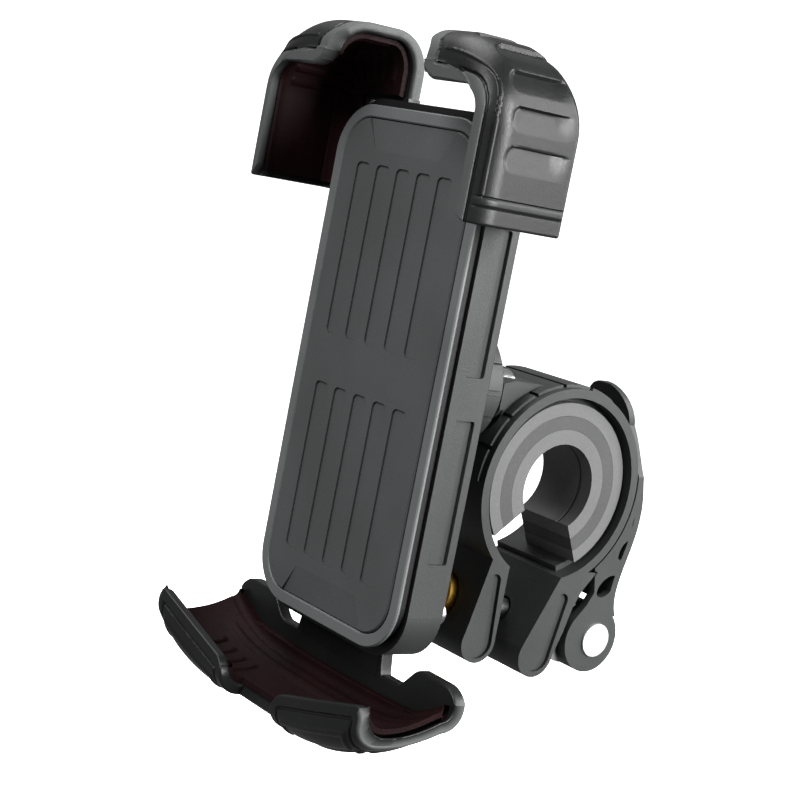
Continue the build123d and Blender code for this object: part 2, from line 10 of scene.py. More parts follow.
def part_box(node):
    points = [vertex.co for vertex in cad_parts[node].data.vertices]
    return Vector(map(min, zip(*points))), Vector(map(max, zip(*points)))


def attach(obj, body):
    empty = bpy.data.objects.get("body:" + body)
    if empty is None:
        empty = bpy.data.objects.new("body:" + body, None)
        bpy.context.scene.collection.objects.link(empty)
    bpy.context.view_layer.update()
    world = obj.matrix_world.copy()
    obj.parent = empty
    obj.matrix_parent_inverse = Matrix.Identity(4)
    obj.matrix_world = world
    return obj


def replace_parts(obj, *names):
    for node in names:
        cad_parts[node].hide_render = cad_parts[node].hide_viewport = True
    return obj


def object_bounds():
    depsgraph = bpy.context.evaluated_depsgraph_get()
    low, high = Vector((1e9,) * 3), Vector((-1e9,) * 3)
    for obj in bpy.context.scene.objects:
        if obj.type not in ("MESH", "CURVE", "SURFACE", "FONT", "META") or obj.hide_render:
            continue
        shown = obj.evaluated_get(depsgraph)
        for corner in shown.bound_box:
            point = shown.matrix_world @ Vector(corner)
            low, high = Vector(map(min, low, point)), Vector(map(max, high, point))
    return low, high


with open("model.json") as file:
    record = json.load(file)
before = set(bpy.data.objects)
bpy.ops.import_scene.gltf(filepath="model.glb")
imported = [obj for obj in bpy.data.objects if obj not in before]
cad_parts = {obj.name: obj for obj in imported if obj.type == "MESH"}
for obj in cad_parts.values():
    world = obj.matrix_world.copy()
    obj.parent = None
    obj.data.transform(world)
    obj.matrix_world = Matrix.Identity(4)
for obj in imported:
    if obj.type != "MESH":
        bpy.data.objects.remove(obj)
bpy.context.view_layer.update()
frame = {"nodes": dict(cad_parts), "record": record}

MM = 0.001
NODES = frame["nodes"]

# The holder's own frame, in mm: X across, Y to the back from the pad's face, Z up from the pad's middle
PAD_LOW, PAD_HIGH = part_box("front_pad")
HOLDER = np.array(((PAD_LOW.x + PAD_HIGH.x) / 2, PAD_LOW.y, (PAD_LOW.z + PAD_HIGH.z) / 2))

# Upper jaw, mm in the holder's frame. Pairs called EDGE or CENTRE are (X, Z), and END pairs are (X, Y).
JAW_HALF_WIDTH = 40.3
JAW_WALL = 2.6
JAW_BACK = 10.2
BACK_WALL = 3.2
ARCH_CENTRE = (22.3, 52.9)
ARCH_R = 18.0
HOOK_BOTTOM = 34.9
UPPER_LIP = -13.4
RIM_STEP = 0.5
LIP_EDGE = (34.9, 60.1)
LIP_EDGE_R = 5.0
LIP_END_R = 4.4
LOWER_CORNER_R = 3.0
LOWER_CORNER_FADE = 9.0
HOUSING_CUT = (26.6, 55.8)
END_FRONT = (14.8, -13.1)
END_BACK = (12.0, 10.0)
LIP_SETBACK = 1.9
LIP_SETBACK_Y = (10.4, 12.9)

# How deep (along Y) and how high the hook's front and back corners are, at its side and on its roof
FRONT_RUN = (6.5, 8.6)
FRONT_RISE = (5.2, 7.1)
BACK_RUN = (1.5, 8.2)
BACK_RISE = (1.5, 9.0)

# Relief on the hooks, mm: places are measured round the surface from the lip's edge
EDGE_R = 0.5
RIM_WIDTH = 2.4
RIM_FADE = 0.3
RIM_GROOVE = 2.85
RIM_GROOVE_HALF = 0.3
RIM_GROOVE_DEPTH = 0.5
HOOK_BEAD = 5.2
HOOK_BEAD_HALF = 0.3
HOOK_BEAD_HEIGHT = 0.36
HOOK_BEAD_END = (4.6, 6.2)
HOOK_BEAD_FOOT = (39.6, 40.8)
ROOF_RIM_EXTRA = 0.6
ROOF_BEAD_EXTRA = 1.4
ROOF_SPAN = (55.0, 66.0)
BOTTOM_GROOVES = (40.05, 38.3)
BOTTOM_GROOVE_HALF = 0.2
BOTTOM_GROOVE_DEPTH = 0.32
FAR = 30.0

# Lower jaw, mm in the holder's frame
LOWER_LIP = -15.4
LOWER_BOTTOM = -74.0
LOWER_LIP_END = 39.4
LOWER_END_Y = (-13.9, -3.5)
LOWER_RISE = 6.9
LOWER_RISE_POWER = 3.6
FLOOR_SLOPE = 2.8
GAP_HALF = 9.6
GAP_EDGE = -9.4
LOWER_FRONT_RISE = 5.4
LOWER_BACK_RUN = 4.6
LOWER_GROOVE = 2.7
LOWER_GROOVE_DEPTH = 0.42
LOWER_BEAD = 4.6
LOWER_BEAD_HALF = 0.55
LOWER_BEAD_HEIGHT = 0.3
LOWER_CHANNELS = (11.5, 14.6)
LOWER_CHANNEL_HALF = 0.9
LOWER_CHANNEL_DEPTH = 0.35
LIP_CORNER_R = 3.2

# Liners, mm
LINER = 1.1
LINER_GAP = 0.04
HOOK_RIB_PITCH = 4.2
HOOK_RIB_HEIGHT = 0.55
SCOOP_RIB_PITCH = 4.4
SCOOP_RIB_HEIGHT = 0.6

# The mesh shells lie this far inside the plain hoods, which leaves room for their beads
SURFACE_SINK = 0.3

# The slides of both jaws lie one beside the other between these depths
PLATE_Y = (6.9, 10.1)


# ---------------------------------------------------------------- shapes

def smooth_step(value, low, high):
    t = np.clip((value - low) / (high - low), 0.0, 1.0)
    return t * t * (3.0 - 2.0 * t)


def groove(distance, place, half_width, depth):
    """A soft-edged channel (or, with a negative depth, a bead) along one line."""
    return depth * (1.0 - smooth_step(np.abs(distance - place), half_width * 0.55, half_width * 1.45))


def edge_round(distance, radius):
    """How far a surface falls away as it nears a rounded edge."""
    inside = np.clip(radius - distance, 0.0, radius)
    return radius - np.sqrt(radius * radius - inside * inside)


def spaced(start, end, count, crowd_start=0.0, crowd_end=0.0):
    """Samples from start to end, with extra ones close to an end that is to be rounded."""
    inner = list(np.linspace(0.0, 1.0, count))
    span = abs(end - start)
    for size, flip in ((crowd_start, False), (crowd_end, True)):
        for share in (0.06, 0.2, 0.42, 0.7, 1.0):
            step = size * share / span
            if size and step < 0.5:
                inner.append(1.0 - step if flip else step)
    inner = sorted(inner)
    kept = [inner[0]]
    for value in inner[1:]:
        if value - kept[-1] > 0.02 / span:
            kept.append(value)
    kept[-1] = 1.0
    return start + (end - start) * np.array(kept)


def crowded(start, end, count, crowd):
    """A fixed number of samples, five of them within the rounded edge at the start."""
    span = abs(end - start)
    if span < 2.0 * crowd:
        return np.linspace(start, end, count)
    shares = np.concatenate([np.array((0.0, 0.06, 0.2, 0.42, 0.7)) * crowd / span,
                             np.linspace(crowd / span, 1.0, count - 5)])
    return start + (end - start) * shares


def corner_curve(count, power):
    """A quarter of a superellipse, from (0, 1) to (1, 0), with its ends left out."""
    angles = np.linspace(0.0, math.pi / 2, count + 2)[1:-1]
    return np.sin(angles) ** (2 / power), np.cos(angles) ** (2 / power)


def grid_normals(grid):
    along = np.gradient(grid, axis=0)
    across = np.gradient(grid, axis=1)
    normal = np.cross(along, across)
    length = np.linalg.norm(normal, axis=2, keepdims=True)
    return normal / np.maximum(length, 1e-9)


def arc_lengths(grid, axis):
    steps = np.linalg.norm(np.diff(grid, axis=axis), axis=2)
    total = np.cumsum(steps, axis=axis)
    pad = [(0, 0), (0, 0)]
    pad[axis] = (1, 0)
    return np.pad(total, pad)


def new_object(name, bm, body, material, mirror=False):
    if mirror:
        bmesh.ops.scale(bm, vec=(-1, 1, 1), verts=bm.verts)
        bmesh.ops.reverse_faces(bm, faces=bm.faces)
    for vert in bm.verts:
        vert.co = Vector(np.array(vert.co) * MM + HOLDER)
    for face in bm.faces:
        face.smooth = True
    mesh = bpy.data.meshes.new(name)
    bm.to_mesh(mesh)
    bm.free()
    mesh.set_sharp_from_angle(angle=math.radians(42))
    piece = bpy.data.objects.new(name, mesh)
    bpy.context.scene.collection.objects.link(piece)
    mesh.materials.append(material)
    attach(piece, body)
    return piece


def shell(outer, inner, keep=None, rim_satin_and_painted_light=None):
    """A closed solid between two sheets of points, which may leave some cells out."""
    rows, columns = outer.shape[:2]
    for points in (outer, inner):
        np.clip(points[..., 0], -JAW_HALF_WIDTH, JAW_HALF_WIDTH, out=points[..., 0])
    if keep is None:
        keep = np.ones((rows - 1, columns - 1), bool)
    bm = bmesh.new()
    # Each outer vertex carries its share of the rim, which the material paints paler as light on the rim.
    layer = bm.verts.layers.float.new("rim_satin_and_painted_light")
    sheets = []
    for points, shade in ((outer, rim_satin_and_painted_light), (inner, None)):
        verts = []
        for i in range(rows):
            for j in range(columns):
                vert = bm.verts.new(points[i, j])
                vert[layer] = 0.0 if shade is None else float(shade[i, j])
                verts.append(vert)
        sheets.append(verts)
    front, back = sheets
    for i in range(rows - 1):
        for j in range(columns - 1):
            if not keep[i, j]:
                continue
            corners = (i * columns + j, (i + 1) * columns + j, (i + 1) * columns + j + 1, i * columns + j + 1)
            bm.faces.new([front[c] for c in corners])
            bm.faces.new([back[c] for c in reversed(corners)])
            sides = (
                (i, j - 1, corners[0], corners[1]), (i + 1, j, corners[1], corners[2]),
                (i, j + 1, corners[2], corners[3]), (i - 1, j, corners[3], corners[0]),
            )
            for row, column, a, b in sides:
                inside = 0 <= row < rows - 1 and 0 <= column < columns - 1
                if not (inside and keep[row, column]):
                    bm.faces.new((front[b], front[a], back[a], back[b]))
    loose = [vert for vert in bm.verts if not vert.link_faces]
    bmesh.ops.delete(bm, geom=loose, context="VERTS")
    bmesh.ops.recalc_face_normals(bm, faces=bm.faces)
    return bm


# ---------------------------------------------------------------- upper jaw

def ray_to_corner(cos, sin, edge, radius):
    """Distance from the arch's centre, along one direction, to a rounded right-angled edge."""
    across = edge[0] - ARCH_CENTRE[0]
    up = edge[1] - ARCH_CENTRE[1]
    reach = min(across / max(cos, 1e-6), up / max(sin, 1e-6))
    if radius:
        x0, z0 = across - radius, up - radius
        if reach * cos > x0 and reach * sin > z0:
            dot = cos * x0 + sin * z0
            reach = dot + math.sqrt(max(dot * dot - x0 * x0 - z0 * z0 + radius * radius, 0.0))
    return reach


def hook_stations():
    """Places along the hook's path: (roof share or None, angle or None, height or None)."""
    roof = [("roof", t) for t in spaced(0.0, 1.0, 26, 0.12)[:-1]]
    arch = [("arch", a) for a in np.linspace(math.pi / 2, 0.0, 96)[:-1]]
    side = [("side", z) for z in spaced(ARCH_CENTRE[1], HOOK_BOTTOM, 70, 0.0, 0.7)]
    return roof + arch + side


HOOK_COUNTS = {"lip": 8, "front": 56, "wall": 60, "back_corner": 18, "back": 26}


def along_arch(pair, upness):
    """A size that changes from the hook's side to its roof."""
    return pair[0] + (pair[1] - pair[0]) * upness


def hook_section(station, inset, lip_skip=0.0, back_skip=0.0):
    """One section of the hook: rows of (X, Y, Z), from the lip's edge round to the back wall's."""
    kind, value = station
    if kind == "roof":
        cos, sin = 0.0, 1.0
    elif kind == "arch":
        cos, sin = math.cos(value), math.sin(value)
    else:
        cos, sin = 1.0, 0.0
    upness = float(smooth_step(math.atan2(sin, cos), 0.1, math.pi / 2 - 0.1))
    if kind == "side":
        lip_depth = JAW_HALF_WIDTH - LIP_EDGE[0]
        back_depth = JAW_HALF_WIDTH - HOUSING_CUT[0]
    else:
        lip_depth = ARCH_R - ray_to_corner(cos, sin, LIP_EDGE, LIP_EDGE_R)
        back_depth = ARCH_R - ray_to_corner(cos, sin, HOUSING_CUT, 0.0)
    lip_depth -= lip_skip
    back_depth -= back_skip
    thin_back = inset * BACK_WALL / JAW_WALL
    front_y = UPPER_LIP + inset
    hood_y = front_y + RIM_STEP * upness
    back_y = JAW_BACK - thin_back
    ledge = min(along_arch(FRONT_RISE, upness), lip_depth + lip_skip - 0.2) + 0.3 * inset * upness
    front_a = max(along_arch(FRONT_RUN, upness) - inset, 0.4)
    front_b = max(ledge - inset, 0.4)
    back_a = max(along_arch(BACK_RUN, upness) - thin_back, 0.3)
    back_b = max(along_arch(BACK_RISE, upness) - inset, 0.3)
    top = inset
    ys, depths = [], []
    lip_start = max(lip_depth, top + front_b + 0.05)
    for depth in np.linspace(lip_start, top + front_b, HOOK_COUNTS["lip"]):
        ys.append(front_y)
        depths.append(depth)
    rise, run = corner_curve(HOOK_COUNTS["front"], 2.0)
    for forward, down in zip(1.0 - run, 1.0 - rise):
        ys.append(hood_y + front_a * forward)
        depths.append(top + front_b * down)
    for y in np.linspace(hood_y + front_a, back_y - back_a, HOOK_COUNTS["wall"]):
        ys.append(y)
        depths.append(top)
    rise, run = corner_curve(HOOK_COUNTS["back_corner"], 2.0)
    for forward, down in zip(rise, run):
        ys.append(back_y - back_a * (1.0 - forward))
        depths.append(top + back_b * (1.0 - down))
    for depth in np.linspace(top + back_b, back_depth, HOOK_COUNTS["back"]):
        ys.append(back_y)
        depths.append(depth)
    ys, depths = np.array(ys), np.array(depths)
    if kind == "side":
        return np.stack([JAW_HALF_WIDTH - depths, ys, np.full_like(ys, value)], axis=1)
    radius = ARCH_R - depths
    x = ARCH_CENTRE[0] + radius * cos
    z = ARCH_CENTRE[1] + radius * sin
    if kind == "roof":
        end = hook_end(ys)
        x = end + (ARCH_CENTRE[0] - end) * value
    return np.stack([x, ys, z], axis=1)


def hook_end(y):
    """X where the hook's roof ends over the phone; the lip in front stops short of it."""
    slope = (END_BACK[0] - END_FRONT[0]) / (END_BACK[1] - END_FRONT[1])
    return END_FRONT[0] + (y - END_FRONT[1]) * slope + LIP_SETBACK * smooth_step(-y, *LIP_SETBACK_Y)


def hook_sheet(inset, lip_skip=0.0, back_skip=0.0):
    return np.array([hook_section(station, inset, lip_skip, back_skip) for station in hook_stations()])


def round_lip_end(sheet, radius, start_x=0.0, edge_z=LIP_EDGE[1]):
    """Turns the lip's square inner end into a round one."""
    across = sheet[..., 0] - hook_end(sheet[..., 1]) - start_x
    up = sheet[..., 2] - edge_z
    near = (across < radius) & (up < radius) & (sheet[..., 1] < -4.0)
    dx, dz = across - radius, up - radius
    scale = np.maximum(np.abs(dx), np.abs(dz)) / np.maximum(np.hypot(dx, dz), 1e-9)
    sheet[..., 0] = np.where(near, sheet[..., 0] + dx * (scale - 1.0), sheet[..., 0])
    sheet[..., 2] = np.where(near, sheet[..., 2] + dz * (scale - 1.0), sheet[..., 2])
    return sheet


def path_rise(sheet):
    """How far up the hook's outside each point is, measured round the arch from its lower end."""
    dx = np.maximum(sheet[..., 0] - ARCH_CENTRE[0], 1e-3)
    dz = sheet[..., 2] - ARCH_CENTRE[1]
    round_arch = ARCH_R * np.arctan2(np.maximum(dz, 0.0), dx)
    beyond = np.maximum(ARCH_CENTRE[0] - sheet[..., 0], 0.0)
    return np.where(dz < 0, dz, round_arch) + beyond


SCALLOP_COUNT = 5
SCALLOP_PITCH = 7.55
SCALLOP_FIRST = -5.1
SCALLOP_WIDTH = 4.9
SCALLOP_DEPTH = 0.85
SCALLOP_Y = (-7.9, 8.6)
SCALLOP_ROUND = 2.2
SCALLOP_FADE = 5.5


def scallops(rise, y):
    """Finger dents: a sharp step at the top of each one, then a ramp back to the surface."""
    depth = np.zeros_like(rise)
    for index in range(SCALLOP_COUNT):
        middle = SCALLOP_FIRST + index * SCALLOP_PITCH
        across = (rise - middle) / (SCALLOP_WIDTH / 2)
        reach = SCALLOP_Y[0] + SCALLOP_ROUND * (1.0 - np.sqrt(np.clip(1.0 - across ** 2, 0.0, 1.0)))
        ramp = np.clip((across + 1.0) / 2.0, 0.0, 1.0)
        inside = 1.0 - smooth_step(across, 0.94, 1.04)
        ends = smooth_step(y, reach - 0.3, reach + 1.2)
        ends *= 1.0 - smooth_step(y, SCALLOP_Y[1] - SCALLOP_FADE, SCALLOP_Y[1])
        depth = np.maximum(depth, SCALLOP_DEPTH * ramp * inside * ends)
    return depth


def upper_hook():
    """The right hook: a shell with a rim painted paler (painted light on its flat face, with a satin
    roughness), a groove and a bead beside it, and finger dents.
    """
    outer, inner = hook_sheet(0.0), hook_sheet(JAW_WALL)
    normals, inner_normals = grid_normals(outer), grid_normals(inner)
    if normals[10, 90][2] < 0:
        normals, inner_normals = -normals, -inner_normals
    from_lip = arc_lengths(outer, 1)
    from_back = from_lip[:, -1:] - from_lip
    from_end = np.where(outer[..., 2] > ARCH_CENTRE[1], outer[..., 0] - hook_end(outer[..., 1]), FAR)
    from_bottom = outer[..., 2] - HOOK_BOTTOM
    border = np.minimum(from_lip, from_end)
    rise = path_rise(outer)
    roof = smooth_step(outer[..., 2], *ROOF_SPAN)
    rim_extra = ROOF_RIM_EXTRA * roof
    depth = SURFACE_SINK + groove(border, RIM_GROOVE + rim_extra, RIM_GROOVE_HALF, RIM_GROOVE_DEPTH)
    bead = groove(from_lip, HOOK_BEAD + ROOF_BEAD_EXTRA * roof, HOOK_BEAD_HALF, -HOOK_BEAD_HEIGHT)
    bead *= smooth_step(from_end, *HOOK_BEAD_END) * smooth_step(outer[..., 2], *HOOK_BEAD_FOOT)
    depth += bead * (outer[..., 1] < 0)
    depth += scallops(rise, outer[..., 1])
    side = smooth_step(outer[..., 1], -12.6, -11.0) * (1.0 - smooth_step(outer[..., 1], 9.3, 9.8))
    side *= outer[..., 0] > 36.0
    for height in BOTTOM_GROOVES:
        depth += groove(outer[..., 2], height, BOTTOM_GROOVE_HALF, BOTTOM_GROOVE_DEPTH) * side
    edge = np.minimum(np.minimum(border, from_back), from_bottom)
    depth += edge_round(edge, EDGE_R)
    # The rim band: its paler colour is painted light on the flat, front-facing rim; its added roughness is
    # the rim's satin grain.
    rim_satin_and_painted_light = 1.0 - smooth_step(border - rim_extra, RIM_WIDTH, RIM_WIDTH + RIM_FADE)
    near_bottom = 1.0 - np.clip(from_bottom / LOWER_CORNER_FADE, 0.0, 1.0)
    corner = edge_round(from_lip, LOWER_CORNER_R) * near_bottom
    outer = outer - normals * depth[..., None]
    inner = inner + inner_normals * edge_round(edge, EDGE_R)[..., None]
    for sheet in (outer, inner):
        sheet[..., 2] += corner
        round_lip_end(sheet, LIP_END_R)
    return shell(outer, inner, rim_satin_and_painted_light=rim_satin_and_painted_light)


def upper_liner():
    """The ribbed lining of the right hook, set back from all of the hook's edges."""
    lip_skip, back_skip, end_skip = 1.0, 1.2, 1.4
    outer = hook_sheet(JAW_WALL + LINER_GAP, lip_skip, back_skip)
    inner = hook_sheet(JAW_WALL + LINER, lip_skip, back_skip)
    for sheet in (outer, inner):
        end = hook_end(sheet[..., 1])
        roof = sheet[..., 2] > ARCH_CENTRE[1]
        share = np.clip((ARCH_CENTRE[0] - sheet[..., 0]) / np.maximum(ARCH_CENTRE[0] - end, 0.1), 0.0, 1.0)
        sheet[..., 0] = np.where(roof, sheet[..., 0] + end_skip * share, sheet[..., 0])
        low = sheet[..., 2] < ARCH_CENTRE[1]
        span = ARCH_CENTRE[1] - HOOK_BOTTOM
        drop = np.clip((ARCH_CENTRE[1] - sheet[..., 2]) / span, 0.0, 1.0)
        sheet[..., 2] = np.where(low, sheet[..., 2] + end_skip * drop, sheet[..., 2])
        round_lip_end(sheet, LIP_END_R - 1.0, end_skip, LIP_EDGE[1] + lip_skip)
    normals = grid_normals(inner)
    if normals[10, 90][2] < 0:
        normals = -normals
    from_lip = arc_lengths(inner, 1)
    from_back = from_lip[:, -1:] - from_lip
    rise = path_rise(inner)
    ribs = 0.5 + 0.5 * np.cos(rise * 2 * math.pi / HOOK_RIB_PITCH)
    ribs = smooth_step(ribs, 0.45, 0.85) * smooth_step(rise, 2.0, 5.0)
    ribs *= smooth_step(from_lip, 2.5, 4.0) * smooth_step(from_back, 2.0, 3.5)
    inner = inner - normals * (HOOK_RIB_HEIGHT * ribs)[..., None]
    inner = inner + normals * edge_round(np.minimum(from_lip, from_back), 0.4)[..., None]
    return shell(outer, inner)


# ---------------------------------------------------------------- lower jaw

def lower_stations():
    """Places across the lower jaw, from -1 at one end to 1 at the other, in mm at its middle."""
    half = np.concatenate([
        spaced(0.0, GAP_HALF, 26, 0.0, 0.5)[:-1],
        spaced(GAP_HALF, 14.2, 24, 0.5, 0.0)[:-1],
        np.linspace(14.2, 16.0, 12)[:-1],
        np.linspace(16.0, 34.0, 64)[:-1],
        spaced(34.0, JAW_HALF_WIDTH, 34, 0.0, 0.6),
    ])
    return np.concatenate([-half[:0:-1], half])


LOWER_COUNTS = {"lip": 34, "front": 30, "floor": 44, "back_corner": 16, "back": 40}
LOWER_CORNER = (GAP_EDGE - LOWER_LIP, LOWER_FRONT_RISE)


def lip_top(x):
    return -65.6 + 0.262 * (np.abs(x) - 12.0)


def back_top(x):
    x = np.abs(x)
    drop = 7.2 * smooth_step(x, 14.3, 15.9)
    lift = 5.0 * smooth_step(x, 21.0, 28.0)
    corner = np.clip(x - 35.4, 0.0, 4.9)
    fall = 5.6 - np.sqrt(np.maximum(5.6 ** 2 - corner ** 2, 0.0))
    return -53.4 - drop + lift - fall


def lower_end(y):
    """Half the jaw's width at a depth: the lip is a little narrower than the floor behind it."""
    return LOWER_LIP_END + (JAW_HALF_WIDTH - LOWER_LIP_END) * smooth_step(y, *LOWER_END_Y)


def lower_section(x, inset, lip_skip=0.0, back_stop=None):
    outward = min(abs(x), JAW_HALF_WIDTH) / JAW_HALF_WIDTH
    bottom = LOWER_BOTTOM + LOWER_RISE * outward ** LOWER_RISE_POWER + inset
    thin_back = inset * BACK_WALL / JAW_WALL
    front_y = LOWER_LIP + inset
    back_y = JAW_BACK - thin_back
    front_a = max(LOWER_CORNER[0] - inset * 0.6, 0.5)
    front_b = max(LOWER_CORNER[1] - inset * 0.6, 0.5)
    back_a = max(LOWER_BACK_RUN - thin_back * 0.6, 0.5)
    floor_end = bottom + FLOOR_SLOPE
    ys, zs = [], []
    top = lip_top(x) - lip_skip
    for z in crowded(top, bottom + front_b, LOWER_COUNTS["lip"], 0.5):
        ys.append(front_y)
        zs.append(z)
    rise, run = corner_curve(LOWER_COUNTS["front"], 2.0)
    for forward, down in zip(1.0 - run, 1.0 - rise):
        ys.append(front_y + front_a * forward)
        zs.append(bottom + front_b * down)
    for share in np.linspace(0.0, 1.0, LOWER_COUNTS["floor"]):
        ys.append(front_y + front_a + (back_y - back_a - front_y - front_a) * share)
        zs.append(bottom + (floor_end - bottom) * share * share)
    rise, run = corner_curve(LOWER_COUNTS["back_corner"], 2.0)
    for forward, down in zip(rise, run):
        ys.append(back_y - back_a * (1.0 - forward))
        zs.append(floor_end + back_a * (1.0 - down))
    stop = back_top(x) if back_stop is None else back_stop(x)
    for z in crowded(stop, floor_end + back_a, LOWER_COUNTS["back"], 0.5)[::-1]:
        ys.append(back_y)
        zs.append(z)
    return np.array(ys), np.array(zs)


def lower_sheet(inset, lip_skip=0.0, back_stop=None, end_skip=0.0):
    rows = []
    for x in lower_stations():
        ys, zs = lower_section(x, inset, lip_skip, back_stop)
        limit = lower_end(ys) - end_skip
        share = np.clip((abs(x) - 24.0) / (JAW_HALF_WIDTH - 24.0), 0.0, 1.0)
        xs = np.sign(x) * (abs(x) + (limit - JAW_HALF_WIDTH) * share)
        rows.append(np.stack([xs, ys, zs], axis=1))
    return np.array(rows)


def lower_keep(sheet, gap_half, gap_edge):
    middle = (sheet[:-1, :-1] + sheet[1:, 1:]) / 2
    return ~((np.abs(middle[..., 0]) < gap_half) & (middle[..., 1] < gap_edge))


def lower_distances(sheet):
    from_lip = arc_lengths(sheet, 1)
    from_end = lower_end(sheet[..., 1]) - np.abs(sheet[..., 0])
    in_lip = sheet[..., 1] < GAP_EDGE + 0.01
    from_gap = np.where(in_lip, np.abs(sheet[..., 0]) - GAP_HALF, FAR)
    return from_lip, from_end, from_gap


def round_lip_corners(sheet, radius):
    """Rounds the two top corners of each lip, by the gap and by the end."""
    top = lip_top(sheet[..., 0])
    down = top - sheet[..., 2]
    lip = sheet[..., 1] < GAP_EDGE - 1.0
    for across, sign, size in (
        (np.abs(sheet[..., 0]) - GAP_HALF, 1.0, radius),
        (lower_end(sheet[..., 1]) - np.abs(sheet[..., 0]), -1.0, radius * 0.9),
    ):
        near = lip & (across < size) & (down < size) & (across > -0.01)
        dx, dz = across - size, down - size
        scale = np.maximum(np.abs(dx), np.abs(dz)) / np.maximum(np.hypot(dx, dz), 1e-9)
        side = np.sign(sheet[..., 0])
        sheet[..., 0] = np.where(near, sheet[..., 0] + side * sign * dx * (scale - 1.0), sheet[..., 0])
        sheet[..., 2] = np.where(near, sheet[..., 2] - dz * (scale - 1.0), sheet[..., 2])
    return sheet


def lower_shell():
    """The lower jaw's scoop: two lips with a gap between them, a floor and a back wall."""
    outer, inner = lower_sheet(0.0), lower_sheet(JAW_WALL)
    normals, inner_normals = grid_normals(outer), grid_normals(inner)
    middle = len(outer) // 2
    if normals[middle, 90][2] > 0:
        normals, inner_normals = -normals, -inner_normals
    from_lip, from_end, from_gap = lower_distances(outer)
    from_back = from_lip[:, -1:] - from_lip
    border = np.minimum(np.minimum(from_lip, from_end), from_gap)
    front = outer[..., 1] < 2.0
    depth = SURFACE_SINK + groove(border, LOWER_GROOVE, RIM_GROOVE_HALF, LOWER_GROOVE_DEPTH) * front
    inner_border = np.minimum(np.minimum(from_lip - 1.6, from_end), from_gap)
    depth += groove(inner_border, LOWER_BEAD, LOWER_BEAD_HALF, -LOWER_BEAD_HEIGHT) * front
    for place in LOWER_CHANNELS:
        fade = smooth_step(np.abs(outer[..., 0]), 12.0, 16.0) * smooth_step(from_end, 2.5, 5.0)
        depth += groove(from_lip, place, LOWER_CHANNEL_HALF, LOWER_CHANNEL_DEPTH) * fade
    edge = np.minimum(np.minimum(from_lip, from_end), np.minimum(from_gap, from_back))
    edge = np.maximum(edge, 0.0)
    gap_front = np.where(np.abs(outer[..., 0]) < GAP_HALF, np.maximum(outer[..., 1] - GAP_EDGE, 0.0), FAR)
    edge = np.minimum(edge, gap_front)
    depth += edge_round(edge, EDGE_R)
    # A thin band along the jaw's ends takes the paler rim colour: painted light on the end edges, with a
    # satin roughness.
    rim_satin_and_painted_light = 1.0 - smooth_step(from_end, 0.5, 0.9)
    outer = outer - normals * depth[..., None]
    inner = inner + inner_normals * edge_round(edge, EDGE_R)[..., None]
    keep = lower_keep(lower_sheet(0.0), GAP_HALF, GAP_EDGE)
    outer, inner = round_lip_corners(outer, LIP_CORNER_R), round_lip_corners(inner, LIP_CORNER_R)
    return shell(outer, inner, keep, rim_satin_and_painted_light)


def liner_back(x):
    return -64.6 + 1.2 * (abs(x) / 38.0) ** 2


def lower_liner():
    """The lining of the scoop's floor and lips, with ribs beside the gap and a ridge across."""
    settings = {"lip_skip": 1.8, "back_stop": liner_back, "end_skip": 1.6}
    outer = lower_sheet(JAW_WALL + LINER_GAP, **settings)
    inner = lower_sheet(JAW_WALL + LINER, **settings)
    keep = lower_keep(inner, GAP_HALF + 1.2, GAP_EDGE + 1.2)
    normals = grid_normals(inner)
    if normals[len(inner) // 2, 90][2] < 0:
        normals = -normals
    from_lip = arc_lengths(inner, 1)
    x, y = np.abs(inner[..., 0]), inner[..., 1]
    ribs = smooth_step(0.5 + 0.5 * np.cos((x - 15.5) * 2 * math.pi / SCOOP_RIB_PITCH), 0.5, 0.9)
    ribs *= smooth_step(x, 13.5, 14.5) * (1.0 - smooth_step(x, 30.5, 32.0))
    ribs *= smooth_step(from_lip, 2.0, 3.5) * (1.0 - smooth_step(y, -3.4, -1.6))
    ridge = groove(y, 1.2, 0.8, 0.35) * (1.0 - smooth_step(x, 30.0, 34.0))
    lift = SCOOP_RIB_HEIGHT * ribs + ridge
    from_back = from_lip[:, -1:] - from_lip
    lift -= edge_round(np.minimum(from_lip, from_back), 0.35)
    inner = inner + normals * lift[..., None]
    return shell(outer, inner, keep)


# ---------------------------------------------------------------- materials

def node_graph(name):
    material = bpy.data.materials.new(name)
    material.use_nodes = True
    nodes = material.node_tree.nodes
    return material, nodes, material.node_tree.links, nodes["Principled BSDF"]


def noise(nodes, links, coords, scale, detail=3.0, roughness=0.55):
    node = nodes.new("ShaderNodeTexNoise")
    node.inputs["Scale"].default_value = scale
    node.inputs["Detail"].default_value = detail
    node.inputs["Roughness"].default_value = roughness
    links.new(coords, node.inputs["Vector"])
    return node.outputs["Fac"]


def ramp(nodes, links, value, low, high, out_low, out_high):
    node = nodes.new("ShaderNodeMapRange")
    for key, number in (("From Min", low), ("From Max", high), ("To Min", out_low), ("To Max", out_high)):
        node.inputs[key].default_value = number
    links.new(value, node.inputs["Value"])
    return node.outputs["Result"]


def mix_colour(nodes, links, factor, first, second):
    node = nodes.new("ShaderNodeMix")
    node.data_type = "RGBA"
    node.inputs["A"].default_value = (*first, 1.0) if isinstance(first, tuple) else (0, 0, 0, 1)
    node.inputs["B"].default_value = (*second, 1.0) if isinstance(second, tuple) else (0, 0, 0, 1)
    if not isinstance(first, tuple):
        links.new(first, node.inputs["A"])
    if not isinstance(second, tuple):
        links.new(second, node.inputs["B"])
    links.new(factor, node.inputs["Factor"])
    return node.outputs["Result"]


def bump(nodes, links, height, strength, distance, under=None):
    node = nodes.new("ShaderNodeBump")
    node.inputs["Strength"].default_value = strength
    node.inputs["Distance"].default_value = distance
    links.new(height, node.inputs["Height"])
    if under is not None:
        links.new(under, node.inputs["Normal"])
    return node.outputs["Normal"]


